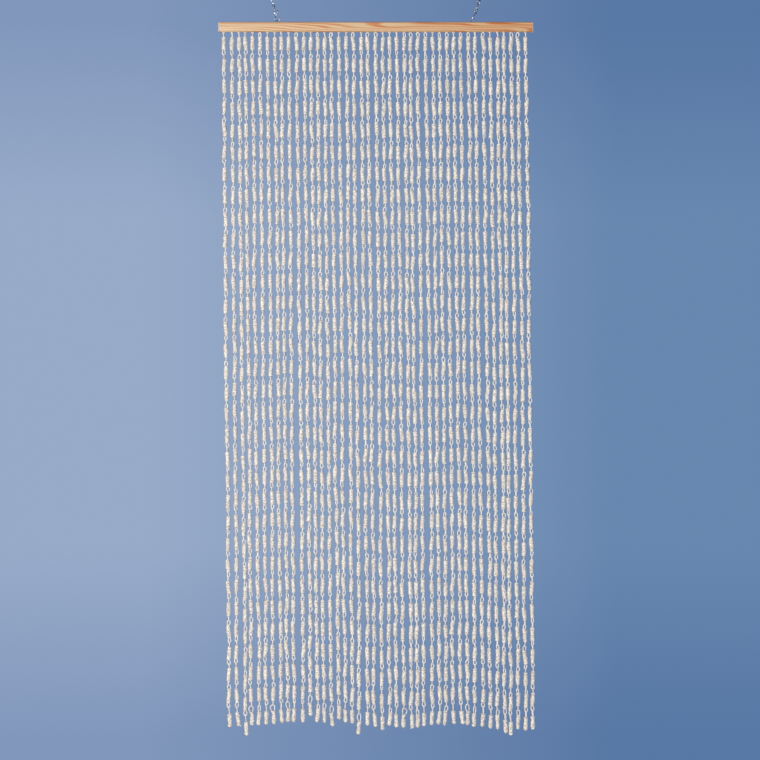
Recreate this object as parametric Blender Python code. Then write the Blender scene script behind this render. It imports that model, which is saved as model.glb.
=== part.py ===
"""String door curtain: strands of wound cord bobbins under a pine batten, hung on two short chains.

Metres, +Z up. The origin is the centre of the batten's back face. +X runs along the batten
to the viewer's right and the front faces -Y.
"""

import math
import random

import bmesh
import bpy
from mathutils import Matrix, Vector

# Batten: a flat pine lath with a groove along its underside. Its ends are sanded thinner, the
# left one also lower at the top.
BATTEN_LENGTH = 0.900
BATTEN_HEIGHT = 0.0275
BATTEN_DEPTH = 0.014
END_DEPTH_SHARE = 0.55
LEFT_END = {"side": -1, "length": 0.0055, "top": 0.0020, "low": 0.0003}
RIGHT_END = {"side": 1, "length": 0.0032, "top": 0.0003, "low": 0.0003}
GROOVE_LENGTH = 0.884
GROOVE_WIDTH = 0.006
GROOVE_DEPTH = 0.012

# Heading strips: they lie in the groove, and the strands grow out of them
GAP = 0.0003
STRIP_WIDTH = 0.0054
STRIP_THICKNESS = 0.003
LEFT_STRANDS = 22

# Strands: bobbins of wound cord, each linked to the next by two cord loops
STRAND_COUNT = 43
FIRST_ROOT_X = -0.433
LAST_ROOT_X = 0.428
ROOT_SCATTER = 0.0022
BOBBIN_COUNT = 32
BOBBIN_LENGTH = 0.038
FIRST_BOBBIN_DROP = 0.0148
MEAN_DROP = 1.982
PITCH_SCATTER = 0.0018
LAST_LOOPS_LONGER = (0.0, 0.0030, 0.0050, 0.0075, 0.0085)
ROOT_SIZE = 0.0032
BOBBIN_SIZE = 0.0130
LINK_SIZE = 0.0050
TIP_SIZE = 0.0080

# Sway: the strands drift to the viewer's right on their way down, and wander a little
LEFT_DRIFT = 0.0174
RIGHT_DRIFT = 0.0220
DRIFT_SCATTER = 0.0016
DRIFT_EARLY = 0.35
WANDER_TOP = 0.0006
WANDER_BOTTOM = 0.0011
WANDER_MEMORY = 0.6
DEPTH_SHARE = 0.5
DEPTH_REACH = 0.0007
BOBBIN_BOW = 0.0006
TIP_SWING = 0.0026
TIP_REACH = 0.0060
CLOSEST_STRANDS = 0.0146
SEED = 100

# Hem: how much longer or shorter than the mean the strands end, between these strand numbers
HEM_STEPS = (
    {"strand": 1, "longer": 0.002},
    {"strand": 5, "longer": -0.004},
    {"strand": 11, "longer": -0.012},
    {"strand": 17, "longer": -0.012},
    {"strand": 20, "longer": 0.000},
    {"strand": 27, "longer": 0.004},
    {"strand": 32, "longer": -0.008},
    {"strand": 36, "longer": 0.004},
    {"strand": 43, "longer": 0.012},
)
ODD_STRANDS = (
    {"strand": 3, "longer": 0.026},
    {"strand": 12, "longer": -0.028},
    {"strand": 15, "longer": 0.001},
    {"strand": 16, "longer": -0.018},
    {"strand": 19, "longer": 0.022},
    {"strand": 22, "longer": 0.011},
    {"strand": 39, "longer": 0.022},
    {"strand": 40, "longer": 0.024},
)
HEM_SCATTER = 0.0025

# Hanging gear: a screw eye, an S-hook, a chain and an end ring on each side
HANGER_X = 0.277
CHAIN_LEAN = math.radians(18.4)
S_HOOK_TURN = {"left": 0.0, "right": math.radians(70)}
EYE_WIRE = 0.0016
EYE_RADIUS = 0.0030
EYE_RISE = 0.0041
EYE_NECK = 0.0034
EYE_BEND = {"start": -54, "end": 198, "step": 36}
SHANK_DEPTH = 0.0075
PILOT_DEPTH = 0.0080
PILOT_SIDES = 8
S_HOOK_WIRE = 0.0020
S_HOOK_HEIGHT = 0.03315
LOWER_RADIUS = 0.0076
LOWER_ASIDE = 0.0012
LOWER_BEND = {"start": 6, "end": -206, "step": 30}
UPPER_RADIUS = 0.0059
UPPER_BEND = {"start": -34, "end": 206, "step": 40}
S_HOOK_TAIL = (-0.0028, 0.0196)
HOOK_SEAT_GAP = 0.00075
LINK_COUNT = 5
LINK_WIRE = 0.0016
LINK_HALF_LENGTH = 0.0060
LINK_HALF_WIDTH = 0.0026
LINK_SHOULDER = 0.0012
RING_WIRE = 0.0022
RING_RADIUS = 0.0062
RING_BEND = {"start": -90, "end": 234, "step": 36}

TOP_Z = BATTEN_HEIGHT / 2
UNDERSIDE_Z = -BATTEN_HEIGHT / 2
MID_Y = -BATTEN_DEPTH / 2
STRIP_TOP_Z = UNDERSIDE_Z + GROOVE_DEPTH - GAP
STRIP_MID_Z = STRIP_TOP_Z - STRIP_THICKNESS / 2


def clear_scene():
    for old in list(bpy.data.objects):
        bpy.data.objects.remove(old, do_unlink=True)


def make_material(name, color, roughness, metallic):
    material = bpy.data.materials.new(name)
    material.use_nodes = True
    shader = material.node_tree.nodes["Principled BSDF"]
    shader.inputs["Base Color"].default_value = (*color, 1.0)
    shader.inputs["Roughness"].default_value = roughness
    shader.inputs["Metallic"].default_value = metallic
    return material


def add_object(name, data, material=None):
    new = bpy.data.objects.new(name, data)
    bpy.context.scene.collection.objects.link(new)
    if material:
        data.materials.append(material)
    return new


def make_guide(guide):
    guide.hide_render = True
    guide.display_type = "WIRE"


def boolean(target, operation, operand):
    modifier = target.modifiers.new(operand.name, "BOOLEAN")
    modifier.operation = operation
    modifier.solver = "EXACT"
    modifier.object = operand
    make_guide(operand)


def box_mesh(name, size, centre):
    bm = bmesh.new()
    place = Matrix.Translation(centre) @ Matrix.Diagonal((*size, 1.0))
    bmesh.ops.create_cube(bm, size=1.0, matrix=place)
    mesh = bpy.data.meshes.new(name)
    bm.to_mesh(mesh)
    bm.free()
    return mesh


def make_batten(material):
    """The lath: its two end faces are drawn out and shrunk to the sanded tips."""
    bm = bmesh.new()
    full_length = BATTEN_LENGTH - LEFT_END["length"] - RIGHT_END["length"]
    centre = Vector(((LEFT_END["length"] - RIGHT_END["length"]) / 2, MID_Y, 0))
    size = (full_length, BATTEN_DEPTH, BATTEN_HEIGHT, 1.0)
    bmesh.ops.create_cube(bm, size=1.0, matrix=Matrix.Translation(centre) @ Matrix.Diagonal(size))
    for sanded in (LEFT_END, RIGHT_END):
        end = next(face for face in bm.faces if sanded["side"] * face.normal.x > 0.9)
        tip = bmesh.ops.extrude_discrete_faces(bm, faces=[end])["faces"][0]
        bmesh.ops.translate(bm, verts=tip.verts, vec=(sanded["side"] * sanded["length"], 0, 0))
        shrink = (1, END_DEPTH_SHARE, 1)
        bmesh.ops.scale(bm, verts=tip.verts, vec=shrink, space=Matrix.Translation(-centre))
        for corner in tip.verts:
            corner.co.z += -sanded["top"] if corner.co.z > 0 else sanded["low"]
    mesh = bpy.data.meshes.new("batten")
    bm.to_mesh(mesh)
    bm.free()
    batten = add_object("batten", mesh, material)

    groove_size = (GROOVE_LENGTH, GROOVE_WIDTH, 2 * GROOVE_DEPTH)
    groove = add_object("groove", box_mesh("groove", groove_size, (0, MID_Y, UNDERSIDE_Z)))
    boolean(batten, "DIFFERENCE", groove)
    radius = (EYE_WIRE / 2 + GAP) / math.cos(math.pi / PILOT_SIDES)
    for side, x in (("left", -HANGER_X), ("right", HANGER_X)):
        bm = bmesh.new()
        bmesh.ops.create_cone(
            bm,
            cap_ends=True,
            segments=PILOT_SIDES,
            radius1=radius,
            radius2=radius,
            depth=2 * PILOT_DEPTH,
        )
        mesh = bpy.data.meshes.new("pilot_hole_" + side)
        bm.to_mesh(mesh)
        bm.free()
        pilot_hole = add_object("pilot_hole_" + side, mesh)
        pilot_hole.location = (x, MID_Y, TOP_Z)
        boolean(batten, "DIFFERENCE", pilot_hole)


def hem_step(strand):
    """How much longer than the mean this strand ends, before its own scatter."""
    for odd in ODD_STRANDS:
        if odd["strand"] == strand:
            return odd["longer"]
    for before, after in zip(HEM_STEPS, HEM_STEPS[1:]):
        if strand <= after["strand"]:
            share = (strand - before["strand"]) / (after["strand"] - before["strand"])
            return before["longer"] + share * (after["longer"] - before["longer"])


def strand_lines():
    """For each strand, the points where its bobbins are linked, root first and tip last."""
    draw = random.Random(SEED)
    lines = []
    for number in range(1, STRAND_COUNT + 1):
        across = (number - 1) / (STRAND_COUNT - 1)
        root_x = FIRST_ROOT_X + across * (LAST_ROOT_X - FIRST_ROOT_X)
        root_x += draw.uniform(-ROOT_SCATTER, ROOT_SCATTER)
        drift = LEFT_DRIFT + across * (RIGHT_DRIFT - LEFT_DRIFT)
        drift += draw.uniform(-DRIFT_SCATTER, DRIFT_SCATTER)
        drop = MEAN_DROP + hem_step(number) + draw.uniform(-HEM_SCATTER, HEM_SCATTER)
        longer = draw.choice(LAST_LOOPS_LONGER)
        pitch = (drop - FIRST_BOBBIN_DROP - BOBBIN_LENGTH - longer) / (BOBBIN_COUNT - 1)
        uneven = [draw.gauss(0, PITCH_SCATTER) for _ in range(BOBBIN_COUNT - 1)]
        spare = sum(uneven) / len(uneven)
        z = UNDERSIDE_Z - FIRST_BOBBIN_DROP + (pitch - BOBBIN_LENGTH) / 2
        points = [Vector((root_x, MID_Y, z))]
        wander_x = wander_y = 0.0
        for link in range(BOBBIN_COUNT):
            down = (link + 1) / BOBBIN_COUNT
            reach = WANDER_TOP + down * (WANDER_BOTTOM - WANDER_TOP)
            wander_x = WANDER_MEMORY * wander_x + draw.gauss(0, reach)
            wander_y = WANDER_MEMORY * wander_y + draw.gauss(0, DEPTH_SHARE * reach)
            wander_y = max(-DEPTH_REACH, min(DEPTH_REACH, wander_y))
            curve = (1 + DRIFT_EARLY) * down - DRIFT_EARLY * down * down
            x = root_x + drift * curve + wander_x
            if link + 1 < BOBBIN_COUNT:
                z -= pitch + uneven[link] - spare
            else:
                x += max(-TIP_REACH, min(TIP_REACH, draw.gauss(0, TIP_SWING)))
                z = UNDERSIDE_Z - drop
            if lines:
                x = max(x, lines[-1][link + 1].x + CLOSEST_STRANDS)
            points.append(Vector((x, MID_Y + wander_y, z)))
        lines.append(points)
    return lines


def strand_rings(points, draw):
    """Centre and size of each cross-section: thick at a bobbin's middle, thin at a link."""
    root = points[0].copy()
    root.z = STRIP_MID_Z
    rings = [(root, ROOT_SIZE)]
    for above, below in zip(points, points[1:]):
        middle = (above + below) / 2
        middle.x += draw.uniform(-BOBBIN_BOW, BOBBIN_BOW)
        rings.append((middle, BOBBIN_SIZE))
        rings.append((below, LINK_SIZE))
    tip = points[-1]
    rings[-1] = (tip, TIP_SIZE)
    rings[-2][0].z = tip.z + BOBBIN_LENGTH / 2
    return rings


def add_strand(bm, rings):
    """A three-sided strand with a flat side to the front, drawn down from ring to ring."""
    top, size = rings[0]
    radius = size / math.sqrt(3)
    place = Matrix.Translation(top - Vector((0, radius / 4, 0)))
    made = bmesh.ops.create_cone(
        bm,
        cap_ends=True,
        segments=3,
        radius1=radius,
        radius2=radius,
        depth=STRIP_THICKNESS / 4,
        matrix=place,
    )
    low_corners = [corner for corner in made["verts"] if corner.co.z < top.z]
    end = next(face for face in low_corners[0].link_faces if face.normal.z < -0.9)
    centre = Vector((top.x, top.y, low_corners[0].co.z))
    for ring, (next_centre, next_size) in enumerate(rings[1:]):
        if ring:
            end = bmesh.ops.extrude_discrete_faces(bm, faces=[end])["faces"][0]
        bmesh.ops.translate(bm, verts=end.verts, vec=next_centre - centre)
        grow = next_size / size
        space = Matrix.Translation(-next_centre)
        bmesh.ops.scale(bm, verts=end.verts, vec=(grow, grow, 1), space=space)
        centre = next_centre
        size = next_size


def make_heading(name, lines, draw, ends, material):
    """One heading strip with its strands fused to it."""
    bm = bmesh.new()
    for points in lines:
        add_strand(bm, strand_rings(points, draw))
    mesh = bpy.data.meshes.new(name + "_strands")
    bm.to_mesh(mesh)
    bm.free()
    strands = add_object(name + "_strands", mesh)

    start, end = ends
    size = (end - start, STRIP_WIDTH, STRIP_THICKNESS)
    strip = box_mesh(name, size, ((start + end) / 2, MID_Y, STRIP_MID_Z))
    heading = add_object(name, strip, material)
    boolean(heading, "UNION", strands)


def arc(centre, radius, bend):
    """Points (x, z) along a bend, whose angles are in degrees from +X towards +Z."""
    points = []
    turned = bend["end"] - bend["start"]
    steps = round(abs(turned) / bend["step"])
    for step in range(steps + 1):
        angle = math.radians(bend["start"] + turned * step / steps)
        points.append((centre[0] + radius * math.cos(angle), centre[1] + radius * math.sin(angle)))
    return points


def wire_curve(name, points, wire, closed, material):
    """A round wire bent in its own XZ plane."""
    curve = bpy.data.curves.new(name, "CURVE")
    curve.dimensions = "3D"
    curve.bevel_depth = wire / 2
    curve.bevel_resolution = 0
    curve.use_fill_caps = not closed
    spline = curve.splines.new("POLY")
    spline.points.add(len(points) - 1)
    for point, (x, z) in zip(spline.points, points):
        point.co = (x, 0, z, 1)
    spline.use_cyclic_u = closed
    curve.materials.append(material)
    return curve


def eye_points():
    """A straight shank, then an almost closed ring above it."""
    shank = [(0.0, -SHANK_DEPTH), (0.0, EYE_RISE - EYE_NECK)]
    return shank + arc((0.0, EYE_RISE), EYE_RADIUS, EYE_BEND)


def s_hook_points():
    """An open hook below, a diagonal, and a loop above whose end comes back to the diagonal.

    The origin is where the screw eye holds the hook, a little to the side of its lowest point.
    """
    lower_z = math.sqrt(LOWER_RADIUS**2 - LOWER_ASIDE**2)
    lower = arc((-LOWER_ASIDE, lower_z), LOWER_RADIUS, LOWER_BEND)
    upper = arc((0.0, S_HOOK_HEIGHT - UPPER_RADIUS), UPPER_RADIUS, UPPER_BEND)
    return lower + upper + [S_HOOK_TAIL]


def link_points():
    shoulder = LINK_HALF_LENGTH - LINK_SHOULDER
    half = [(0.0, LINK_HALF_LENGTH), (LINK_HALF_WIDTH, shoulder), (LINK_HALF_WIDTH, -shoulder)]
    return half + [(-x, -z) for x, z in half]


def make_hanger(side, direction, zinc):
    """Screw eye, S-hook, chain links and end ring of one side, each linked through the last."""
    turn = S_HOOK_TURN[side]
    eye_curve = wire_curve("screw_eye_" + side, eye_points(), EYE_WIRE, False, zinc)
    eye = add_object("screw_eye_" + side, eye_curve)
    eye.location = (direction * HANGER_X, MID_Y, TOP_Z)
    eye.rotation_euler.z = turn + math.pi / 2

    pull = add_object("hanger_" + side, None)
    seat = EYE_RISE + EYE_RADIUS - (EYE_WIRE + S_HOOK_WIRE) / 2 - HOOK_SEAT_GAP
    pull.location = (direction * HANGER_X, MID_Y, TOP_Z + seat)
    pull.rotation_mode = "ZYX"
    pull.rotation_euler = (0, direction * CHAIN_LEAN, turn)

    s_hook = wire_curve("s_hook_" + side, s_hook_points(), S_HOOK_WIRE, False, zinc)
    add_object("s_hook_" + side, s_hook).parent = pull

    # The two sides of a link slope in to its end, which widens the seat of the wire inside it
    slope = math.hypot(LINK_HALF_WIDTH, LINK_SHOULDER) / LINK_HALF_WIDTH
    height = S_HOOK_HEIGHT
    inner_wire = S_HOOK_WIRE
    link_curve = wire_curve("chain_link_" + side, link_points(), LINK_WIRE, True, zinc)
    for number in range(1, LINK_COUNT + 1):
        height += LINK_HALF_LENGTH - slope * ((inner_wire + LINK_WIRE) / 2 + GAP)
        link = add_object(f"chain_link_{side}_{number}", link_curve)
        link.parent = pull
        link.location = (0, 0, height)
        link.rotation_euler.z = math.pi / 2 * (number % 2)
        height += LINK_HALF_LENGTH
        inner_wire = LINK_WIRE

    height += RING_RADIUS - slope * ((RING_WIRE + LINK_WIRE) / 2 + GAP)
    ring_points = arc((0.0, 0.0), RING_RADIUS, RING_BEND)
    ring_curve = wire_curve("end_ring_" + side, ring_points, RING_WIRE, True, zinc)
    end_ring = add_object("end_ring_" + side, ring_curve)
    end_ring.parent = pull
    end_ring.location = (0, 0, height)


clear_scene()
pine = make_material("pine", (0.74, 0.50, 0.27), 0.60, 0.0)
cotton = make_material("cotton_cord", (0.78, 0.73, 0.64), 0.95, 0.0)
zinc_plate = make_material("zinc_plate", (0.62, 0.63, 0.64), 0.32, 1.0)

make_batten(pine)
all_lines = strand_lines()
bow_draw = random.Random(SEED + 1)
strip_end = GROOVE_LENGTH / 2 - GAP
roots = [points[0].x for points in all_lines]
strip_joint = (roots[LEFT_STRANDS - 1] + roots[LEFT_STRANDS]) / 2
left_ends = (-strip_end, strip_joint - GAP / 2)
right_ends = (strip_joint + GAP / 2, strip_end)
make_heading("heading_left", all_lines[:LEFT_STRANDS], bow_draw, left_ends, cotton)
make_heading("heading_right", all_lines[LEFT_STRANDS:], bow_draw, right_ends, cotton)
make_hanger("left", -1, zinc_plate)
make_hanger("right", 1, zinc_plate)
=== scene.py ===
"""String door curtain: strands of wound cord bobbins under a pine batten, on two short chains.

Metres, +Z up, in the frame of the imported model: the origin is the centre of the batten's back
face, +X runs to the viewer's right and the front faces -Y.
"""

import math
import random

import bmesh
import bpy
from mathutils import Matrix, Vector


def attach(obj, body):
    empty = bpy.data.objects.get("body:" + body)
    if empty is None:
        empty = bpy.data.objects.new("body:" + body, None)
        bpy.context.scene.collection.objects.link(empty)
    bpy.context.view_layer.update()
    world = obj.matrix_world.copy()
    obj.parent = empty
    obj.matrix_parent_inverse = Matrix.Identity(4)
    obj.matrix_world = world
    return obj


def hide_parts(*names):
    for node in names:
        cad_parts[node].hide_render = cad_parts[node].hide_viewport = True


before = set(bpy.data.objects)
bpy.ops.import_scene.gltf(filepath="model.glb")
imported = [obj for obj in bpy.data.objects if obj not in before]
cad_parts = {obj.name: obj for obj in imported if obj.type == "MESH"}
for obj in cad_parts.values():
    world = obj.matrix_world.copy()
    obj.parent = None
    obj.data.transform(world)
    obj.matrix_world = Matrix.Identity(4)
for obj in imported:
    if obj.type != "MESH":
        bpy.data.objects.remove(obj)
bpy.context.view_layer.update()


# Camera, light and floor
# The camera looks level and square at the curtain and takes in 2.17 m of it, so that the chains
# run out of the top edge. A tall soft light stands front left, with weak ones right and behind.
VIEW_SPAN = 2.170
VIEW_CENTRE = Vector((0.012, -0.007, -1.0075))
CAMERA_DISTANCE = 5.5
SENSOR = 36.0
FLOOR_Z = -2.25
FLOOR_SIZE = Vector((3.0, 1.5, 0.02))
FLOOR_DULL = (0.70, 0.69, 0.67, 1)
FLOOR_PALE = (0.76, 0.75, 0.73, 1)
KEY_COLOR = (1.0, 0.985, 0.96)
WARM_COLOR = (1.0, 0.55, 0.28)
BACK_COLOR = (1.0, 0.97, 0.93)
BACKDROP_LEFT = (0.315, 0.405, 0.585, 1.0)
BACKDROP_RIGHT = (0.138, 0.243, 0.435, 1.0)
BACKDROP_EDGE_SHADE = (0.70, 0.77, 0.86, 1.0)
BACKDROP_EDGE = 0.12
EDGE_SHADE_BAND = (0.085, 0.18)
ROOM_LIGHT = (0.82, 0.80, 0.79, 1.0)
ROOM_SHADE = (0.05, 0.035, 0.03, 1.0)
LIGHT_SIDE = (-0.85, -0.4, 0.2)
LIGHT_BAND = (-0.7, 0.6)
DIM_BAND = (0.25, 0.85)
DIM_SHARE = 0.1
QUARTER_TURN = math.pi / 2

camera = bpy.data.cameras.new("front_camera")
camera.sensor_width = SENSOR
camera.lens = SENSOR * CAMERA_DISTANCE / VIEW_SPAN
camera_stand = bpy.data.objects.new("front_camera", camera)
camera_stand.location = VIEW_CENTRE - Vector((0, CAMERA_DISTANCE, 0))
camera_stand.rotation_euler = (QUARTER_TURN, 0, 0)
bpy.context.scene.collection.objects.link(camera_stand)
bpy.context.scene.camera = camera_stand
bpy.context.scene.view_settings.view_transform = "Standard"


def soft_light(name, color, place, width, height, power):
    """A rectangular light that faces the middle of the curtain."""
    light = bpy.data.lights.new(name, "AREA")
    light.shape = "RECTANGLE"
    light.size = width
    light.size_y = height
    light.energy = power
    light.color = color
    lamp = bpy.data.objects.new(name, light)
    lamp.location = place
    lamp.rotation_euler = (VIEW_CENTRE - Vector(place)).to_track_quat("-Z", "Y").to_euler()
    bpy.context.scene.collection.objects.link(lamp)


soft_light("key_light", KEY_COLOR, place=(-1.8, -4.6, -0.8), width=1.2, height=3.2, power=197)
soft_light("warm_light", WARM_COLOR, place=(3.6, -1.4, -1.2), width=0.8, height=2.2, power=9)
soft_light("back_light", BACK_COLOR, place=(0.6, 4.6, 0.6), width=1.4, height=2.6, power=50)


def add_node(tree, kind, settings, inputs):
    """A shader node whose inputs are set to a value or joined to another node's output."""
    node = tree.nodes.new(kind)
    for name, value in settings.items():
        setattr(node, name, value)
    for socket, value in inputs.items():
        if isinstance(value, bpy.types.NodeSocket):
            tree.links.new(value, node.inputs[socket])
        else:
            node.inputs[socket].default_value = value
    return node


def rescale(tree, value, low, high, at_low=0.0, at_high=1.0):
    """Maps the range from low to high onto another range, and no further; returns the output."""
    inputs = {"Value": value, 1: low, 2: high, 3: at_low, 4: at_high}
    return add_node(tree, "ShaderNodeMapRange", {}, inputs).outputs[0]


def calculate(tree, operation, *values):
    """One step of arithmetic on numbers or other nodes' outputs; returns the output."""
    inputs = dict(enumerate(values))
    return add_node(tree, "ShaderNodeMath", {"operation": operation}, inputs).outputs[0]


def start_material(name, settings):
    """A new material, with these values set on its Principled shader's own sockets."""
    material = bpy.data.materials.new(name)
    material.use_nodes = True
    shader = material.node_tree.nodes["Principled BSDF"]
    for socket, value in settings.items():
        shader.inputs[socket].default_value = value
    return material, material.node_tree, shader


# Unevenness that all the materials share: noise on the object's own coordinates, stretched to
# streaks, patches or fibres by how many times it repeats in a metre along each axis
unevenness = bpy.data.node_groups.new("unevenness", "ShaderNodeTree")
unevenness.interface.new_socket("Per Metre", in_out="INPUT", socket_type="NodeSocketVector")
unevenness.interface.new_socket("Detail", in_out="INPUT", socket_type="NodeSocketFloat")
unevenness.interface.new_socket("Height", in_out="OUTPUT", socket_type="NodeSocketFloat")
given = unevenness.nodes.new("NodeGroupInput")
result = unevenness.nodes.new("NodeGroupOutput")
place = unevenness.nodes.new("ShaderNodeTexCoord")
stretched = add_node(
    unevenness,
    "ShaderNodeVectorMath",
    {"operation": "MULTIPLY"},
    {0: place.outputs["Object"], 1: given.outputs["Per Metre"]},
)
noise = add_node(
    unevenness,
    "ShaderNodeTexNoise",
    {},
    {"Vector": stretched.outputs[0], "Scale": 1.0, "Detail": given.outputs["Detail"]},
)
unevenness.links.new(noise.outputs["Fac"], result.inputs["Height"])


def uneven(tree, per_metre, detail):
    """The unevenness group, placed in a material with its own values; returns its height."""
    inputs = {"Per Metre": per_metre, "Detail": detail}
    node = add_node(tree, "ShaderNodeGroup", {"node_tree": unevenness}, inputs)
    return node.outputs["Height"]


def blend_color(tree, share, low, high, blend="MIX"):
    """A colour between two others, by a share from 0 to 1; returns the output."""
    node = tree.nodes.new("ShaderNodeMix")
    node.data_type = "RGBA"
    node.blend_type = blend
    for index, value in ((0, share), (6, low), (7, high)):
        if isinstance(value, bpy.types.NodeSocket):
            tree.links.new(value, node.inputs[index])
        else:
            node.inputs[index].default_value = value
    return node.outputs[2]


# The room is light to the front left, and dim overhead, underfoot and to the right. The camera
# sees a plain blue instead, with painted shade that darkens it to the right, the top and the bottom
world = bpy.data.worlds.new("studio")
world.use_nodes = True
bpy.context.scene.world = world
studio = world.node_tree
room = studio.nodes["Background"]
backdrop = studio.nodes.new("ShaderNodeBackground")
seen = studio.nodes.new("ShaderNodeLightPath").outputs["Is Camera Ray"]
shaders = {0: seen, 1: room.outputs[0], 2: backdrop.outputs[0]}
choice = add_node(studio, "ShaderNodeMixShader", {}, shaders)
studio.links.new(choice.outputs[0], studio.nodes["World Output"].inputs["Surface"])

direction = studio.nodes.new("ShaderNodeTexCoord").outputs["Generated"]
split = add_node(studio, "ShaderNodeSeparateXYZ", {}, {0: direction})
upright = calculate(studio, "ABSOLUTE", split.outputs["Z"])
toward_light = {0: direction, 1: LIGHT_SIDE}
facing = add_node(studio, "ShaderNodeVectorMath", {"operation": "DOT_PRODUCT"}, toward_light)
lightness = rescale(studio, facing.outputs["Value"], *LIGHT_BAND)
level = rescale(studio, upright, *DIM_BAND, 1.0, DIM_SHARE)
lightness = calculate(studio, "MULTIPLY", lightness, level)
room_color = blend_color(studio, lightness, ROOM_SHADE, ROOM_LIGHT)
studio.links.new(room_color, room.inputs["Color"])
# Painted shade on the backdrop: darker to the right, and darker towards the top and the bottom
across = rescale(studio, split.outputs["X"], -BACKDROP_EDGE, BACKDROP_EDGE)
blue = blend_color(studio, across, BACKDROP_LEFT, BACKDROP_RIGHT)
edge_shade = blend_color(studio, rescale(studio, upright, *EDGE_SHADE_BAND), (1, 1, 1, 1), BACKDROP_EDGE_SHADE)
blue = blend_color(studio, 1.0, blue, edge_shade, "MULTIPLY")
studio.links.new(blue, backdrop.inputs["Color"])


def finish_piece(name, bm, material, node):
    """Makes a piece from its mesh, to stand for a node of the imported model."""
    mesh = bpy.data.meshes.new(name)
    bm.to_mesh(mesh)
    bm.free()
    mesh.materials.append(material)
    piece = bpy.data.objects.new(name, mesh)
    bpy.context.scene.collection.objects.link(piece)
    if node:
        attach(piece, "root")
        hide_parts(node)
    return piece


floor_paint, tree, shader = start_material("pale_floor", {"Roughness": 0.8})
patches = uneven(tree, (2.0, 2.0, 2.0), 2.0)
paint = blend_color(tree, patches, FLOOR_DULL, FLOOR_PALE)
tree.links.new(paint, shader.inputs["Base Color"])
bm = bmesh.new()
slab = Matrix.Translation((0, 0, FLOOR_Z - FLOOR_SIZE.z / 2)) @ Matrix.Diagonal((*FLOOR_SIZE, 1))
bmesh.ops.create_cube(bm, size=1.0, matrix=slab)
finish_piece("studio_floor", bm, floor_paint, None)


# Batten
# A planed pine lath, its ends sanded thinner, grey on the left and pale on the right: end grain with
# painted light on the tapers. Painted shade darkens its top edge. It has a groove along its
# underside for the headings, two pilot holes in its top edge and eased edges.
MM = 0.001
BATTEN_LENGTH = 900 * MM
BATTEN_HEIGHT = 27.5 * MM
BATTEN_DEPTH = 14 * MM
END_X = BATTEN_LENGTH / 2
TOP_Z = BATTEN_HEIGHT / 2
UNDERSIDE_Z = -BATTEN_HEIGHT / 2
MID_Y = -BATTEN_DEPTH / 2
WELD = 0.01 * MM
EASED_EDGE = 0.9 * MM
LONG_EDGE = 4 * MM
FLAT_ANGLE = math.radians(1)
OUTER_ANGLE = 0.1
SHARP_ANGLE = math.radians(35)
EARLY_WOOD = (0.735, 0.570, 0.350, 1)
LATE_WOOD = (0.600, 0.200, 0.040, 1)
LATE_BAND = (-0.3, 0.8)
FIGURE_PER_METRE = (2.2, 20.0, 30.0)
RINGS_PER_METRE = (250.0, 85.0)
SWEEP = (5.0, 13.0)
FADED_PER_METRE = (4.0, 60.0, 90.0)
FADED_BAND = (0.36, 0.58)
FAINTEST = 0.45
STREAKS_PER_METRE = (14.0, 700.0, 700.0)
DARK_STREAK = (0.84, 0.82, 0.80, 1)
PALE_STREAK = (1.08, 1.08, 1.08, 1)
LEFT_TINT = (0.88, 0.89, 0.93, 1)
RIGHT_TINT = (0.85, 0.71, 0.62, 1)
TOP_EDGE_SHADE = (0.24, 0.085, 0.030, 1)
TOP_SHADE_BAND = (3.2 * MM, 0.9 * MM)
TOP_SHADE_SHARE = 0.95
SANDED_ENDS = (
    {"from": -444.6 * MM, "grain_and_light": (0.46, 0.430, 0.460, 1)},
    {"from": 446.9 * MM, "grain_and_light": (1.0, 0.640, 0.370, 1)},
)
SANDED_BLEND = 0.3 * MM


def add_bump(tree, shader, height, distance, strength):
    """Fine relief on a surface, from a height that varies over it."""
    settings = {"Height": height, "Distance": distance, "Strength": strength}
    bump = add_node(tree, "ShaderNodeBump", {}, settings)
    tree.links.new(bump.outputs["Normal"], shader.inputs["Normal"])


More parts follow.
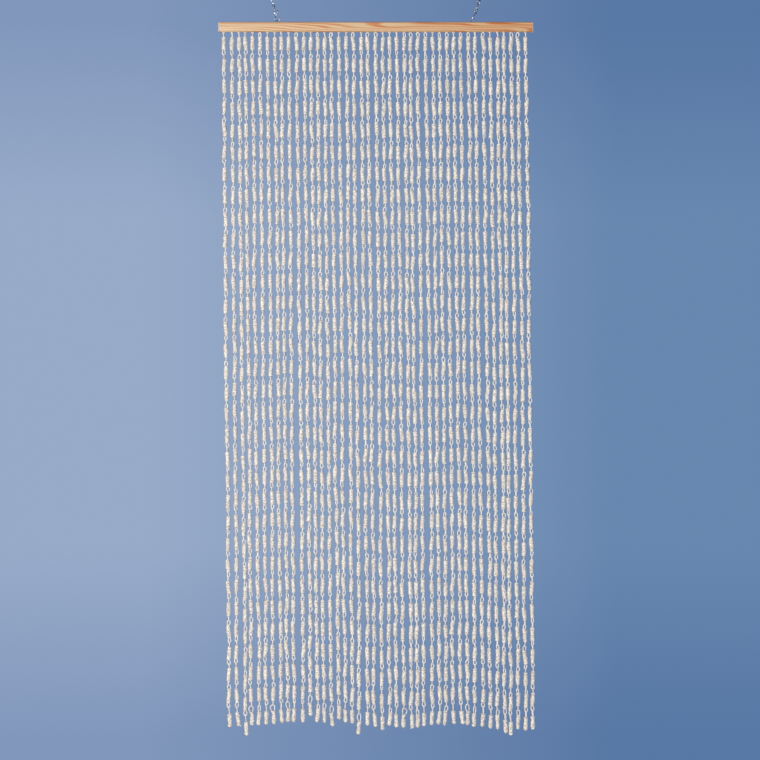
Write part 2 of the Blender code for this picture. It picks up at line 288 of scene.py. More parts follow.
def pine_material():
    """Wavy orange late wood in cream early wood, with the finest rings at the left."""
    pine, tree, shader = start_material("planed_pine", {"Coat Weight": 0.08})
    place = tree.nodes.new("ShaderNodeTexCoord").outputs["Object"]
    split = add_node(tree, "ShaderNodeSeparateXYZ", {}, {0: place})
    x = split.outputs["X"]
    z = split.outputs["Z"]
    figure = uneven(tree, FIGURE_PER_METRE, 1.5)
    sweep = rescale(tree, x, -END_X, END_X, *SWEEP)
    rings = calculate(tree, "MULTIPLY", z, rescale(tree, x, -END_X, END_X, *RINGS_PER_METRE))
    rings = calculate(tree, "MULTIPLY_ADD", figure, sweep, rings)
    wave = calculate(tree, "SINE", calculate(tree, "MULTIPLY", rings, math.tau))
    faded = rescale(tree, uneven(tree, FADED_PER_METRE, 1.5), *FADED_BAND, FAINTEST)
    late = calculate(tree, "MULTIPLY", rescale(tree, wave, *LATE_BAND), faded)
    face = blend_color(tree, late, EARLY_WOOD, LATE_WOOD)
    streaks = uneven(tree, STREAKS_PER_METRE, 2.0)
    streaked = blend_color(tree, streaks, DARK_STREAK, PALE_STREAK)
    face = blend_color(tree, 1.0, face, streaked, "MULTIPLY")
    # Slightly cooler towards the left end, darker and more orange towards the right
    left_to_right_tint = blend_color(tree, rescale(tree, x, -END_X, END_X), LEFT_TINT, RIGHT_TINT)
    face = blend_color(tree, 1.0, face, left_to_right_tint, "MULTIPLY")
    # Painted shade: dark orange-brown along the eased top edge
    top_shade = rescale(tree, z, TOP_Z - TOP_SHADE_BAND[0], TOP_Z - TOP_SHADE_BAND[1], 0.0, TOP_SHADE_SHARE)
    face = blend_color(tree, top_shade, face, TOP_EDGE_SHADE)
    # The ends: end grain with painted light on the tapers, grey on the left and pale orange on the
    # right
    for end in SANDED_ENDS:
        outward = math.copysign(SANDED_BLEND, end["from"])
        end_share = rescale(tree, x, end["from"] - outward, end["from"] + outward)
        face = blend_color(tree, end_share, face, end["grain_and_light"])
    tree.links.new(face, shader.inputs["Base Color"])
    tree.links.new(rescale(tree, streaks, 0.0, 1.0, 0.62, 0.45), shader.inputs["Roughness"])
    add_bump(tree, shader, streaks, 0.15 * MM, 0.5)
    return pine


bm = bmesh.new()
bm.from_mesh(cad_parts["batten"].data)
bmesh.ops.remove_doubles(bm, verts=bm.verts, dist=WELD)
bmesh.ops.dissolve_limit(bm, angle_limit=FLAT_ANGLE, verts=bm.verts, edges=bm.edges)
outer_edges = [
    edge
    for edge in bm.edges
    if edge.calc_length() > LONG_EDGE and edge.is_convex and edge.calc_face_angle() > OUTER_ANGLE
]
bmesh.ops.bevel(
    bm,
    geom=outer_edges,
    offset=EASED_EDGE,
    segments=3,
    profile=0.5,
    affect="EDGES",
    material=-1,
    clamp_overlap=True,
)
for face in bm.faces:
    face.smooth = True
batten = finish_piece("pine_batten", bm, pine_material(), "batten")
batten.data.set_sharp_from_angle(angle=SHARP_ANGLE)


# Cotton cord
# Soft twisted cotton, cream with brown painted shade where one turn of cord meets the next. Its map
# runs along the cord and round it, and its attribute of painted shade is 1 at the bottom of each
# groove.
CORD_DIAMETER = 3.4 * MM
CREAM = (0.875, 0.870, 0.825, 1)
OYSTER = (0.825, 0.815, 0.785, 1)
PATCHES_PER_METRE = (42.0, 42.0, 5.0)
PATCH_BAND = (0.35, 0.65)
GROOVE_SHADE_BROWN = (0.20, 0.090, 0.035, 1)
GROOVE_POWER = 1.3
SHADE_PATCHES_PER_METRE = (170.0, 170.0, 240.0)
SHADE_PATCH_BAND = (0.44, 0.58)
LEAST_SHADE = 0.05
TWISTS_PER_METRE = 260
PLIES = 3
FIBRES_PER_METRE = (1500.0, 1500.0, 1500.0)
FIBRE_SHARE = 0.8
RELIEF_BAND = (0.2, 1.4)
RIB_TROUGH_SHADE = (0.86, 0.84, 0.81, 1)
RIB_CREST_LIGHT = (1.05, 1.05, 1.05, 1)


def cotton_material():
    """Each strand of the twist shows as a fine slanting rib, and short fibres blur it."""
    settings = {"Roughness": 0.92, "Sheen Weight": 0.25, "Sheen Roughness": 0.5}
    cotton, tree, shader = start_material("cotton_cord", settings)
    patch = rescale(tree, uneven(tree, PATCHES_PER_METRE, 1.0), *PATCH_BAND)
    cord = blend_color(tree, patch, CREAM, OYSTER)
    # Brown painted shade in the grooves between turns, stronger in random patches
    groove = add_node(tree, "ShaderNodeAttribute", {"attribute_name": "groove"}, {})
    depth = calculate(tree, "POWER", groove.outputs["Fac"], GROOVE_POWER)
    shade_patches = rescale(tree, uneven(tree, SHADE_PATCHES_PER_METRE, 1.5), *SHADE_PATCH_BAND, LEAST_SHADE)
    shade = calculate(tree, "MULTIPLY", depth, shade_patches)
    cord = blend_color(tree, shade, cord, GROOVE_SHADE_BROWN)
    cord_map = add_node(tree, "ShaderNodeUVMap", {"uv_map": "cord"}, {}).outputs[0]
    split = add_node(tree, "ShaderNodeSeparateXYZ", {}, {0: cord_map})
    along = calculate(tree, "MULTIPLY", split.outputs["X"], TWISTS_PER_METRE * math.tau)
    slant = calculate(tree, "MULTIPLY_ADD", split.outputs["Y"], PLIES * math.tau, along)
    rib = rescale(tree, calculate(tree, "SINE", slant), -1.0, 1.0)
    fibre = uneven(tree, FIBRES_PER_METRE, 3.0)
    relief = calculate(tree, "MULTIPLY_ADD", fibre, FIBRE_SHARE, rib)
    # Painted shade in the troughs of the ribs and fibres, painted light on their crests
    rib_light_and_shade = blend_color(tree, rescale(tree, relief, *RELIEF_BAND), RIB_TROUGH_SHADE, RIB_CREST_LIGHT)
    cord = blend_color(tree, 1.0, cord, rib_light_and_shade, "MULTIPLY")
    tree.links.new(cord, shader.inputs["Base Color"])
    add_bump(tree, shader, relief, 0.35 * MM, 0.6)
    return cotton


cotton = cotton_material()


def map_cord(faces, marks, sides, cord_map):
    """Writes metres along the cord, and the share of the way round it, into its map."""
    for face in faces:
        on_seam = {marks[vert][1] for vert in face.verts} >= {0, sides - 1}
        for corner in face.loops:
            travelled, side = marks[corner.vert]
            around = 1.0 if on_seam and side == 0 else side / sides
            corner[cord_map].uv = (travelled, around)


def lay_cord(bm, path, square, radius, sides, closed=False):
    """A round cord or wire along a flat path; square is the direction across the path's plane.

    Returns how far along the cord and on which of its sides each vertex lies.
    """
    cord_map = bm.loops.layers.uv.get("cord") or bm.loops.layers.uv.new("cord")
    count = len(path)
    first = last = None
    travelled = 0.0
    marks = {}
    for index, point in enumerate(path):
        before = path[index - 1] if index or closed else point
        after = path[(index + 1) % count] if index + 1 < count or closed else point
        heading = (after - before).normalized()
        ring_axes = Matrix((square, heading.cross(square), heading)).transposed().to_4x4()
        at_end = not closed and index in (0, count - 1)
        ring = bmesh.ops.create_circle(
            bm,
            cap_ends=at_end,
            segments=sides,
            radius=radius,
            matrix=Matrix.Translation(point) @ ring_axes,
        )["verts"]
        edges = list(dict.fromkeys(edge for vert in ring for edge in vert.link_edges))
        if index:
            travelled += (point - path[index - 1]).length
        for side, vert in enumerate(ring):
            marks[vert] = (travelled, side)
        if last:
            skin = bmesh.ops.bridge_loops(bm, edges=last + edges)["faces"]
            map_cord(skin, marks, sides, cord_map)
        first = first or edges
        last = edges
    if closed:
        skin = bmesh.ops.bridge_loops(bm, edges=last + first)["faces"]
        map_cord(skin, marks, sides, cord_map)
    return marks


def smooth_sides(bm):
    """Shades a cord's four-sided faces as round, and leaves its cut ends as they are."""
    for face in bm.faces:
        if len(face.verts) == 4:
            face.smooth = True


# Bobbins
# Each is a tight coil of cord, 38 mm long, wound on its own doubled end, so that a cord loop
# stands out of it above and below. They are wound in 19 ways, the last five for the bottom of a
# strand: they lean, bow and swell, and some keep a loose end.
BOBBIN_LENGTH = 38 * MM
HALF = BOBBIN_LENGTH / 2
BOBBIN_KINDS = 14
LOOSE_END_EVERY = 5
WIND_SEED = 12
WRAP_SIDES = 8
WRAPS = 12
WRAP_PITCH = BOBBIN_LENGTH / (WRAPS - 1)
WRAP_RADIUS = 6.55 * MM
GROOVE_RADIUS = 5.2 * MM
END_GROOVE_RADIUS = 3.2 * MM
END_GROOVE_SHADE = 0.35
MAP_RADIUS = 5.4 * MM
LEAN_MM = (0.3, 2.1)
BOW = 1.1 * MM
SWERVE = 0.8 * MM
SHOULDER = 0.03
SWELL = 0.024
SWELL_WAVES = 4.3
OVAL = 0.030
OVAL_TWIST = 2.4
BUMPS = 7
BUMP_SIZE = 0.15
SLIP = 0.8 * MM
TIP_START = 0.66
TIP_NARROWING = 0.93
TIP_POWER = 2.2
CORD_RADIUS = CORD_DIAMETER / 2
LOOP_SIDES = 5
LOOP_REACH = 14.0 * MM
LOOP_ROOT = 1.0 * MM
LOOP_HALF_WIDTH = (2.9 * MM, 4.5 * MM)
LOOP_SAG = 0.9 * MM
TWIST_SCATTER = 0.25
INNER_SHADE = 0.5
SIDE_SHADE = 0.0
OUTER_SHADE = 0.4
ROOT_SHADE = 0.9
ROOT_FADE = 6
LOOSE_END_RADIUS = 1.5 * MM
LOOSE_END_LENGTH = (2.5 * MM, 4.5 * MM)
LOOSE_END_PATH = (
    {"aside_mm": 2.6, "down": -0.3},
    {"aside_mm": 4.2, "down": 0.0},
    {"aside_mm": 5.2, "down": 0.35},
    {"aside_mm": 5.6, "down": 0.7},
)
LAST_BOBBINS = (
    {"longer": 0.0 * MM, "half_width": 3.8 * MM, "sag": 0.5 * MM, "tip": "round", "loose_ends": 0},
    {"longer": 3.0 * MM, "half_width": 4.4 * MM, "sag": -0.8 * MM, "tip": "square", "loose_ends": 1},
    {"longer": 5.0 * MM, "half_width": 6.4 * MM, "sag": 2.6 * MM, "tip": "round", "loose_ends": 0},
    {"longer": 7.5 * MM, "half_width": 3.4 * MM, "sag": 0.3 * MM, "tip": "round", "loose_ends": 0},
    {"longer": 8.5 * MM, "half_width": 5.2 * MM, "sag": -1.2 * MM, "tip": "round", "loose_ends": 0},
)


def spin_coil(bm):
    """A coil of cord: a chain of grooves and crests, spun once round while it climbs one turn."""
    groove = bm.verts.layers.float.new("groove")
    cord_map = bm.loops.layers.uv.new("cord")
    bottom = -HALF - WRAP_PITCH
    chain = []
    edges = []
    for step in range(2 * WRAPS + 1):
        radius = WRAP_RADIUS if step % 2 else GROOVE_RADIUS
        corner = bm.verts.new((radius, 0, bottom + step * WRAP_PITCH / 2))
        # Full painted shade at the bottom of each groove, none on the crests
        corner[groove] = 0.0 if step % 2 else 1.0
        if chain:
            edges.append(bm.edges.new((chain[-1], corner)))
        chain.append(corner)
    bmesh.ops.spin(
        bm,
        geom=chain + edges,
        cent=(0, 0, 0),
        axis=(0, 0, 1),
        dvec=(0, 0, WRAP_PITCH / WRAP_SIDES),
        angle=math.tau,
        steps=WRAP_SIDES,
        use_merge=False,
    )
    bmesh.ops.remove_doubles(bm, verts=bm.verts, dist=WELD)
    for face in bm.faces:
        face.smooth = True
        centre = face.calc_center_median()
        middle = math.atan2(centre.y, centre.x) / math.tau
        turn = math.floor((centre.z - bottom) / WRAP_PITCH - middle)
        for corner in face.loops:
            spot = corner.vert.co
            around = math.atan2(spot.y, spot.x) / math.tau
            around += round(middle - around)
            across = (spot.z - bottom) / WRAP_PITCH - around - turn
            corner[cord_map].uv = ((turn + around) * math.tau * MAP_RADIUS, across / 2)
    for edge in bm.edges:
        edge.smooth = not all(vert[groove] > 0.5 for vert in edge.verts)
    open_edges = [edge for edge in bm.edges if edge.is_boundary]
    bmesh.ops.holes_fill(bm, edges=open_edges, sides=0)


def shape_coil(bm, draw, lean, tip):
    """Draws in a coil's ends, then bows, swells, slips and leans it as if wound by hand."""
    groove = bm.verts.layers.float["groove"]
    bow = draw.uniform(-BOW, BOW)
    swerve = draw.uniform(-SWERVE, SWERVE)
    swell = [draw.uniform(0, math.tau) for _ in range(2)]
    bumps = [draw.uniform(-BUMP_SIZE, BUMP_SIZE) for _ in range(BUMPS + 1)]
    slips = [draw.uniform(-SLIP, SLIP) for _ in range(BUMPS + 1)]
    for vert in bm.verts:
        beyond = (abs(vert.co.z) - HALF) / WRAP_PITCH
        if beyond > 0:
            flat = WRAP_RADIUS + beyond * (END_GROOVE_RADIUS - WRAP_RADIUS)
            size = flat / math.hypot(vert.co.x, vert.co.y)
            vert.co = (vert.co.x * size, vert.co.y * size, math.copysign(HALF, vert.co.z))
            # The flattened ends take a little painted shade
            vert[groove] = END_GROOVE_SHADE
        share = vert.co.z / HALF
        angle = math.atan2(vert.co.y, vert.co.x)
        # A little less than BUMPS, so that the topmost vertex still lies in the last step
        up, step = math.modf((share + 1) / 2 * (BUMPS - 0.001))
        step = int(step)
        size = 1 - SHOULDER * share**4 + bumps[step] + up * (bumps[step + 1] - bumps[step])
        size += SWELL * math.sin(SWELL_WAVES * share + swell[0])
        size += OVAL * math.sin(2 * angle + OVAL_TWIST * share + swell[1])
        if tip == "round" and share < -TIP_START:
            down = (-share - TIP_START) / (1 - TIP_START)
            size *= math.sqrt(1 - TIP_NARROWING * down**TIP_POWER)
        vert.co.x *= size
        vert.co.y *= size
        vert.co.x += bow * (1 - share * share) + swerve * math.sin(math.pi * share)
        vert.co.x += slips[step] + up * (slips[step + 1] - slips[step])
        vert.co += lean * share


def loop_path(reach, half_width, sag, root, turn, direction):
    """A cord loop's middle line, from inside the bobbin's end out to its tip and back."""
    half = (
        (1.6 * MM, -LOOP_ROOT),
        (0.80 * half_width, 0.20 * reach),
        (half_width, 0.47 * reach),
        (0.90 * half_width, 0.72 * reach),
        (0.55 * half_width, 0.92 * reach),
        (0.0, reach),
    )
    outline = list(half) + [(-x, out) for x, out in reversed(half[:-1])]
    path = []
    for x, out in outline:
        x += sag * math.sin(math.pi * max(out, 0) / reach)
        point = Vector((x * math.cos(turn), x * math.sin(turn), direction * (HALF + out)))
        path.append(point + root * (1 - out / reach))
    return path


def add_cord_loop(bm, reach, half_width, sag, root, turn, direction):
    """A cord loop, with painted shade on its inner and outer sides and where it comes out of the
    coil.
    """
    groove = bm.verts.layers.float["groove"]
    path = loop_path(reach, half_width, sag, root, turn, direction)
    square = Vector((-math.sin(turn), math.cos(turn), 0))
    marks = lay_cord(bm, path, square, CORD_RADIUS, LOOP_SIDES)
    length = max(travelled for travelled, side in marks.values())
    for vert, (travelled, side) in marks.items():
        # Painted shade: brown on the inner and outer sides, strongest where the loop leaves the coil
        inward = direction * math.cos(math.tau * side / LOOP_SIDES)
        shade = INNER_SHADE if inward > 0.9 else SIDE_SHADE if inward > 0 else OUTER_SHADE
        out = min(travelled, length - travelled) / length
        vert[groove] = max(shade, ROOT_SHADE - ROOT_FADE * out)


def add_loose_end(bm, draw, lean):
    """The cut end of the cord, pulled out of the last turn and hanging beside the bobbin."""
    length = draw.uniform(*LOOSE_END_LENGTH)
    side = draw.uniform(0, math.tau)
    out = Vector((math.cos(side), math.sin(side), 0))
    path = []
    for point in LOOSE_END_PATH:
        low = Vector((0, 0, HALF + point["down"] * length))
        path.append(out * point["aside_mm"] * MM - low - lean)
    lay_cord(bm, path, out.cross(Vector((0, 0, 1))), LOOSE_END_RADIUS, 4)


def loop_shape(draw):
    """Half the width of a cord loop, and how far it hangs to one side."""
    return draw.uniform(*LOOP_HALF_WIDTH), draw.uniform(-LOOP_SAG, LOOP_SAG)


def make_bobbin(name, draw, top_loop, tip, loose_ends):
    """One way that a bobbin is wound, with its loops; high and low are the seats of the loops."""
    bm = bmesh.new()
    lean_turn = draw.uniform(0, math.tau)
    lean = Vector((math.cos(lean_turn), math.sin(lean_turn), 0)) * draw.uniform(*LEAN_MM) * MM
    spin_coil(bm)
    shape_coil(bm, draw, lean, tip)
    reach, half_width, sag = top_loop
    add_cord_loop(bm, reach, half_width, sag, lean, 0.0, 1)
    twist = QUARTER_TURN * draw.randrange(2) + draw.uniform(-TWIST_SCATTER, TWIST_SCATTER)
    low = -HALF
    if not tip:
        half_width, sag = loop_shape(draw)
        add_cord_loop(bm, LOOP_REACH, half_width, sag, -lean, twist, -1)
        low -= LOOP_REACH - CORD_RADIUS
    for _ in range(loose_ends):
        add_loose_end(bm, draw, lean)
    smooth_sides(bm)
    bmesh.ops.recalc_face_normals(bm, faces=bm.faces)
    mesh = bpy.data.meshes.new(name)
    bm.to_mesh(mesh)
    bm.free()
    high = HALF + reach - CORD_RADIUS
    return {"mesh": mesh, "high": high, "low": low, "twist": twist}


wind_draw = random.Random(WIND_SEED)
bobbins = []
for number in range(BOBBIN_KINDS):
    top_loop = (LOOP_REACH, *loop_shape(wind_draw))
    loose_ends = 1 if number % LOOSE_END_EVERY == 1 else 0
    bobbins.append(make_bobbin(f"bobbin_{number}", wind_draw, top_loop, None, loose_ends))
last_bobbins = {}
for row in LAST_BOBBINS:
    top_loop = (LOOP_REACH + row["longer"], row["half_width"], row["sag"])
    name = "last_bobbin_" + row["tip"]
    kind = make_bobbin(name, wind_draw, top_loop, row["tip"], row["loose_ends"])
    last_bobbins[row["longer"]] = kind


# Strands
# 43 rows of 32 bobbins, each hooked loop through loop into the next. The lines that they hang on
# drift to the right and wander a little, and their hem is uneven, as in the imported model.
STRAND_COUNT = 43
FIRST_ROOT_X = -0.433
LAST_ROOT_X = 0.428
ROOT_SCATTER = 0.0022
BOBBIN_COUNT = 32
FIRST_BOBBIN_DROP = 0.0148
MEAN_DROP = 1.982
PITCH_SCATTER = 0.0018
LEFT_STRANDS = 22
LEFT_DRIFT = 0.0174
RIGHT_DRIFT = 0.0220
DRIFT_SCATTER = 0.0016
DRIFT_EARLY = 0.35
WANDER_TOP = 0.0006
WANDER_BOTTOM = 0.0011
WANDER_MEMORY = 0.6
DEPTH_SHARE = 0.5
DEPTH_REACH = 0.0007
TIP_SWING = 0.0026
TIP_REACH = 0.0060
CLOSEST_STRANDS = 0.0146
TURN_SCATTER = 0.22
COIL_SHARE = 0.3
LINE_SEED = 100
HANG_SEED = 32
HEM_STEPS = (
    {"strand": 1, "longer": 0.002},
    {"strand": 5, "longer": -0.004},
    {"strand": 11, "longer": -0.012},
    {"strand": 17, "longer": -0.012},
    {"strand": 20, "longer": 0.000},
    {"strand": 27, "longer": 0.004},
    {"strand": 32, "longer": -0.008},
    {"strand": 36, "longer": 0.004},
    {"strand": 43, "longer": 0.012},
)
ODD_STRANDS = (
    {"strand": 3, "longer": 0.026},
    {"strand": 12, "longer": -0.028},
    {"strand": 15, "longer": 0.001},
    {"strand": 16, "longer": -0.018},
    {"strand": 19, "longer": 0.022},
    {"strand": 22, "longer": 0.011},
    {"strand": 39, "longer": 0.022},
    {"strand": 40, "longer": 0.024},
)
HEM_SCATTER = 0.0025
GROOVE_DEPTH = 12 * MM
GAP = 0.3 * MM
TAPE_THICKNESS = 3 * MM
TAPE_TOP_Z = UNDERSIDE_Z + GROOVE_DEPTH - GAP
TAPE_LOW_Z = TAPE_TOP_Z - TAPE_THICKNESS
ROOT_CORD_RADIUS = 1.2 * MM


def hem_step(strand):
    """How much longer than the mean this strand ends, before its own scatter."""
    for odd in ODD_STRANDS:
        if odd["strand"] == strand:
            return odd["longer"]
    for before, after in zip(HEM_STEPS, HEM_STEPS[1:]):
        if strand <= after["strand"]:
            share = (strand - before["strand"]) / (after["strand"] - before["strand"])
            return before["longer"] + share * (after["longer"] - before["longer"])


def strand_lines():
    """For each strand, the points where its bobbins are linked and how long its last loop is."""
    draw = random.Random(LINE_SEED)
    lines = []
    for number in range(1, STRAND_COUNT + 1):
        across = (number - 1) / (STRAND_COUNT - 1)
        root_x = FIRST_ROOT_X + across * (LAST_ROOT_X - FIRST_ROOT_X)
        root_x += draw.uniform(-ROOT_SCATTER, ROOT_SCATTER)
        drift = LEFT_DRIFT + across * (RIGHT_DRIFT - LEFT_DRIFT)
        drift += draw.uniform(-DRIFT_SCATTER, DRIFT_SCATTER)
        drop = MEAN_DROP + hem_step(number) + draw.uniform(-HEM_SCATTER, HEM_SCATTER)
        longer = draw.choice(list(last_bobbins))
        pitch = (drop - FIRST_BOBBIN_DROP - BOBBIN_LENGTH - longer) / (BOBBIN_COUNT - 1)
        stretches = [draw.gauss(0, PITCH_SCATTER) for _ in range(BOBBIN_COUNT - 1)]
        spare = sum(stretches) / len(stretches)
        z = UNDERSIDE_Z - FIRST_BOBBIN_DROP + (pitch - BOBBIN_LENGTH) / 2
        points = [Vector((root_x, MID_Y, z))]
        wander_x = wander_y = 0.0
        for link in range(BOBBIN_COUNT):
            down = (link + 1) / BOBBIN_COUNT
            reach = WANDER_TOP + down * (WANDER_BOTTOM - WANDER_TOP)
            wander_x = WANDER_MEMORY * wander_x + draw.gauss(0, reach)
            wander_y = WANDER_MEMORY * wander_y + draw.gauss(0, DEPTH_SHARE * reach)
            wander_y = max(-DEPTH_REACH, min(DEPTH_REACH, wander_y))
            curve = (1 + DRIFT_EARLY) * down - DRIFT_EARLY * down * down
            x = root_x + drift * curve + wander_x
            if link + 1 < BOBBIN_COUNT:
                z -= pitch + stretches[link] - spare
            else:
                x += max(-TIP_REACH, min(TIP_REACH, draw.gauss(0, TIP_SWING)))
                z = UNDERSIDE_Z - drop
            if lines:
                x = max(x, lines[-1]["points"][link + 1].x + CLOSEST_STRANDS)
            points.append(Vector((x, MID_Y + wander_y, z)))
        lines.append({"points": points, "longer": longer})
    return lines


def hang_bobbin(bm, kind, top, low, turn):
    """Adds one bobbin between the seats of its loops, turned about its own length.

    Where the seats are further apart or closer together, the loops give more than the coil.
    """
    line = top - low
    more = line.length - (kind["high"] - kind["low"])
    coil = 1 + COIL_SHARE * more / BOBBIN_LENGTH
    loops = 1 + (1 - COIL_SHARE) * more / (kind["high"] - kind["low"] - BOBBIN_LENGTH)
    copy = kind["mesh"].copy()
    for vert in copy.vertices:
        inside = max(-HALF, min(HALF, vert.co.z))
        vert.co.z = coil * inside + loops * (vert.co.z - inside)
    along = Vector((0, 0, 1)).rotation_difference(line).to_matrix().to_4x4()
    middle = top - line.normalized() * (coil * HALF + loops * (kind["high"] - HALF))
    copy.transform(Matrix.Translation(middle) @ along @ Matrix.Rotation(turn, 4, "Z"))
    bm.from_mesh(copy)
    bpy.data.meshes.remove(copy)


def add_root_loop(bm, seat, turn):
    """The thinner cord that comes down out of the heading tape and holds the first loop."""
    rise = TAPE_LOW_Z + GAP - seat.z
    half = (
        (1.6 * MM, rise),
        (1.6 * MM, 5.0 * MM),
        (1.8 * MM, 2.8 * MM),
        (2.5 * MM, 1.6 * MM),
        (2.6 * MM, 0.4 * MM),
        (1.5 * MM, -0.9 * MM),
        (0.0, -ROOT_CORD_RADIUS),
    )
    outline = list(half) + [(-x, up) for x, up in reversed(half[:-1])]
    along = Vector((math.cos(turn), math.sin(turn), 0))
    path = [seat + along * x + Vector((0, 0, up)) for x, up in outline]
    lay_cord(bm, path, along.cross(Vector((0, 0, 1))), ROOT_CORD_RADIUS, LOOP_SIDES)


def make_strand(number, line, draw):
    """One strand: a root loop, then bobbins turned so that each loop crosses the last.

    Most loops hang with their flat side or their edge to the front.
    """
    points = line["points"]
    bm = bmesh.new()
    bm.verts.layers.float.new("groove")
    bm.loops.layers.uv.new("cord")
    across = QUARTER_TURN * draw.randrange(2)
    add_root_loop(bm, points[0], across)
    smooth_sides(bm)
    for top, low in zip(points, points[1:]):
        kind = draw.choice(bobbins)
        if low is points[-1]:
            kind = last_bobbins[line["longer"]]
        turn = QUARTER_TURN * (round(across / QUARTER_TURN) + 1 + 2 * draw.randrange(2))
        turn += draw.uniform(-TURN_SCATTER, TURN_SCATTER)
        hang_bobbin(bm, kind, top, low, turn)
        across = turn + kind["twist"]
    node = "heading_left" if number <= LEFT_STRANDS else "heading_right"
    finish_piece(f"strand_{number:02d}", bm, cotton, node)


hang_draw = random.Random(HANG_SEED)
all_lines = strand_lines()
for number, line in enumerate(all_lines, 1):
    make_strand(number, line, hang_draw)


# Heading tapes
# Two narrow woven cotton tapes lie in the batten's groove, end to end, and the strands' root
# loops are sewn into them. They show only from below.
TAPE_WIDTH = 5.4 * MM
TAPE_END = 442 * MM - GAP
TAPE_ROUNDING = 0.8 * MM
TAPE_PATCHES_PER_METRE = (60.0, 400.0, 60.0)
TAPE_DULL = (0.66, 0.60, 0.50, 1)
TAPE_PALE = (0.80, 0.75, 0.66, 1)
WEAVE_SCALE = 320.0


def tape_material():
    """A plain weave: fine ribs across and along the tape."""
    settings = {"Roughness": 0.9, "Sheen Weight": 0.2}
    tape, tree, shader = start_material("heading_tape", settings)
    patches = uneven(tree, TAPE_PATCHES_PER_METRE, 2.0)
    color = blend_color(tree, patches, TAPE_DULL, TAPE_PALE)
    tree.links.new(color, shader.inputs["Base Color"])
    place = tree.nodes.new("ShaderNodeTexCoord").outputs["Object"]
    ribs = []
    for axis in ("X", "Y"):
        spacing = {"Vector": place, "Scale": WEAVE_SCALE}
        wave = add_node(tree, "ShaderNodeTexWave", {"bands_direction": axis}, spacing)
        ribs.append(wave.outputs["Fac"])
    weave = calculate(tree, "MULTIPLY", *ribs)
    add_bump(tree, shader, weave, 0.2 * MM, 0.6)
    return tape


tape_cotton = tape_material()
roots = [line["points"][0].x for line in all_lines]
tape_joint = (roots[LEFT_STRANDS - 1] + roots[LEFT_STRANDS]) / 2
for side, start, end in (
    ("left", -TAPE_END, tape_joint - GAP / 2),
    ("right", tape_joint + GAP / 2, TAPE_END),
):
    bm = bmesh.new()
    size = Matrix.Diagonal((end - start, TAPE_WIDTH, TAPE_THICKNESS, 1))
    middle = Vector(((start + end) / 2, MID_Y, (TAPE_TOP_Z + TAPE_LOW_Z) / 2))
    bmesh.ops.create_cube(bm, size=1.0, matrix=Matrix.Translation(middle) @ size)
    bmesh.ops.bevel(
        bm,
        geom=list(bm.edges),
        offset=TAPE_ROUNDING,
        segments=2,
        profile=0.5,
        affect="EDGES",
        material=-1,
    )
    for face in bm.faces:
        face.smooth = True
    finish_piece("heading_tape_" + side, bm, tape_cotton, "heading_" + side)


# Hanging gear
# On each side a screw eye in the batten's top edge, an S-hook in the eye, five chain links and a
# last ring, all bent from zinc-plated steel wire. The pull of the chains leans them outwards.
HANGER_X = 277 * MM
CHAIN_LEAN = math.radians(18.4)
S_HOOK_TURN = {"left": 0.0, "right": math.radians(70)}
EYE_WIRE = 1.6 * MM
EYE_RADIUS = 3.0 * MM
EYE_RISE = 4.1 * MM
EYE_NECK = 3.4 * MM
EYE_BEND = (-54, 198, 14)
SHANK_DEPTH = 7.5 * MM
S_HOOK_WIRE = 2.0 * MM
S_HOOK_HEIGHT = 33.15 * MM
LOWER_RADIUS = 7.6 * MM
LOWER_ASIDE = 1.2 * MM
LOWER_BEND = (6, -206, 15)
UPPER_RADIUS = 5.9 * MM
UPPER_BEND = (-34, 206, 15)
S_HOOK_TAIL = (-2.8 * MM, 19.6 * MM)
HOOK_SEAT_GAP = 0.75 * MM
LINK_COUNT = 5
LINK_WIRE = 1.6 * MM
LINK_HALF_LENGTH = 6.0 * MM
LINK_HALF_WIDTH = 2.6 * MM
LINK_SHOULDER = 1.2 * MM
RING_WIRE = 2.2 * MM
RING_RADIUS = 6.2 * MM
RING_BEND = (0, 348, 12)
WIRE_SIDES = 10
REFLECTION_PATCHES_PER_METRE = (170.0, 170.0, 170.0)
REFLECTION_BAND = (0.48, 0.56)
PAINTED_DARK_REFLECTION = (0.012, 0.012, 0.014, 1)
PAINTED_BRIGHT_REFLECTION = (1.0, 0.98, 0.97, 1)


def zinc_material():
    """Zinc plating with painted reflections: near-black and bright patches in its colour."""
    zinc, tree, shader = start_material("zinc_plate", {"Metallic": 1.0})
    # Painted reflections: the plating's colour runs from near-black to bright in patches
    patches = rescale(tree, uneven(tree, REFLECTION_PATCHES_PER_METRE, 1.0), *REFLECTION_BAND)
    color = blend_color(tree, patches, PAINTED_DARK_REFLECTION, PAINTED_BRIGHT_REFLECTION)
    tree.links.new(color, shader.inputs["Base Color"])
    tree.links.new(rescale(tree, patches, 0.0, 1.0, 0.25, 0.32), shader.inputs["Roughness"])
    add_bump(tree, shader, patches, 0.05 * MM, 0.3)
    return zinc


zinc = zinc_material()


def arc(centre, radius, bend):
    """Points (x, z) along a bend: its first angle, last angle and step, from +X towards +Z."""
    start, end, step = bend
    count = round(abs(end - start) / step)
    angles = [math.radians(start + (end - start) * index / count) for index in range(count + 1)]
    return [(centre[0] + radius * math.cos(a), centre[1] + radius * math.sin(a)) for a in angles]


def bend_wire(name, outline, wire, closed, place):
    """A wire bent in its own XZ plane, then set in its place."""
    bm = bmesh.new()
    path = [Vector((x, 0, z)) for x, z in outline]
    lay_cord(bm, path, Vector((0, 1, 0)), wire / 2, WIRE_SIDES, closed)
    smooth_sides(bm)
    bmesh.ops.recalc_face_normals(bm, faces=bm.faces)
    bmesh.ops.transform(bm, matrix=place, verts=bm.verts)
    finish_piece("wire_" + name, bm, zinc, name)


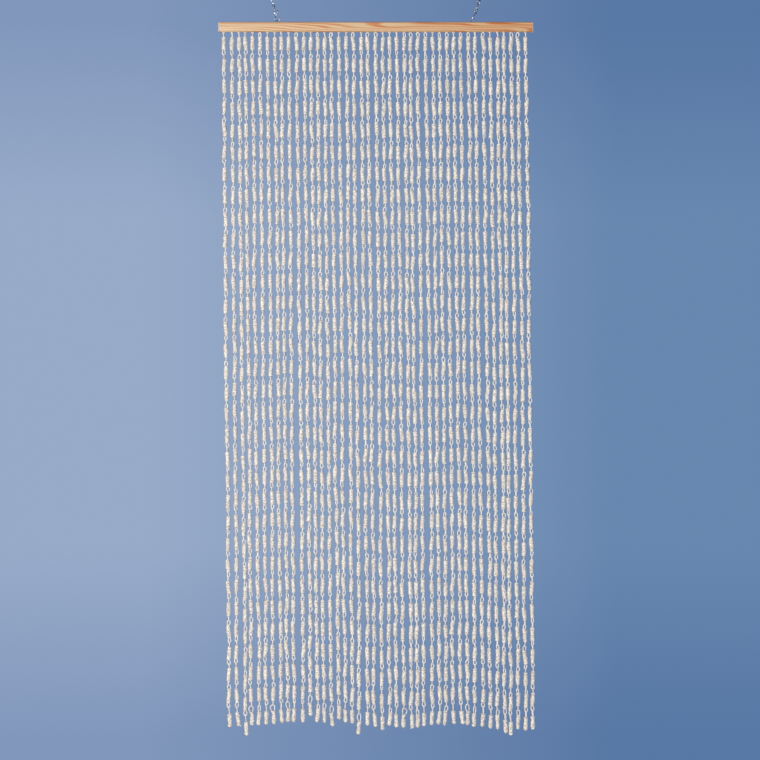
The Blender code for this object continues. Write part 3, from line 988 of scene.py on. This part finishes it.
eye_outline = [(0.0, -SHANK_DEPTH), (0.0, EYE_RISE - EYE_NECK)]
eye_outline += arc((0.0, EYE_RISE), EYE_RADIUS, EYE_BEND)
lower_z = math.sqrt(LOWER_RADIUS**2 - LOWER_ASIDE**2)
s_hook_outline = arc((-LOWER_ASIDE, lower_z), LOWER_RADIUS, LOWER_BEND)
s_hook_outline += arc((0.0, S_HOOK_HEIGHT - UPPER_RADIUS), UPPER_RADIUS, UPPER_BEND)
s_hook_outline.append(S_HOOK_TAIL)
link_end = LINK_HALF_LENGTH - LINK_HALF_WIDTH
link_outline = arc((0.0, link_end), LINK_HALF_WIDTH, (0, 180, 20))
link_outline += arc((0.0, -link_end), LINK_HALF_WIDTH, (180, 360, 20))
ring_outline = arc((0.0, 0.0), RING_RADIUS, RING_BEND)
slope = math.hypot(LINK_HALF_WIDTH, LINK_SHOULDER) / LINK_HALF_WIDTH

for side, direction in (("left", -1), ("right", 1)):
    turn = S_HOOK_TURN[side]
    foot = Vector((direction * HANGER_X, MID_Y, TOP_Z))
    eye_place = Matrix.Translation(foot) @ Matrix.Rotation(turn + QUARTER_TURN, 4, "Z")
    bend_wire("screw_eye_" + side, eye_outline, EYE_WIRE, False, eye_place)

    seat = EYE_RISE + EYE_RADIUS - (EYE_WIRE + S_HOOK_WIRE) / 2 - HOOK_SEAT_GAP
    lean = Matrix.Rotation(direction * CHAIN_LEAN, 4, "Y") @ Matrix.Rotation(turn, 4, "Z")
    pull = Matrix.Translation(foot + Vector((0, 0, seat))) @ lean
    bend_wire("s_hook_" + side, s_hook_outline, S_HOOK_WIRE, False, pull)

    height = S_HOOK_HEIGHT
    inner_wire = S_HOOK_WIRE
    for number in range(1, LINK_COUNT + 1):
        height += LINK_HALF_LENGTH - slope * ((inner_wire + LINK_WIRE) / 2 + GAP)
        link_turn = Matrix.Rotation(QUARTER_TURN * (number % 2), 4, "Z")
        link_place = pull @ Matrix.Translation((0, 0, height)) @ link_turn
        bend_wire(f"chain_link_{side}_{number}", link_outline, LINK_WIRE, True, link_place)
        height += LINK_HALF_LENGTH
        inner_wire = LINK_WIRE
    height += RING_RADIUS - slope * ((RING_WIRE + LINK_WIRE) / 2 + GAP)
    ring_place = pull @ Matrix.Translation((0, 0, height))
    bend_wire("end_ring_" + side, ring_outline, RING_WIRE, True, ring_place)
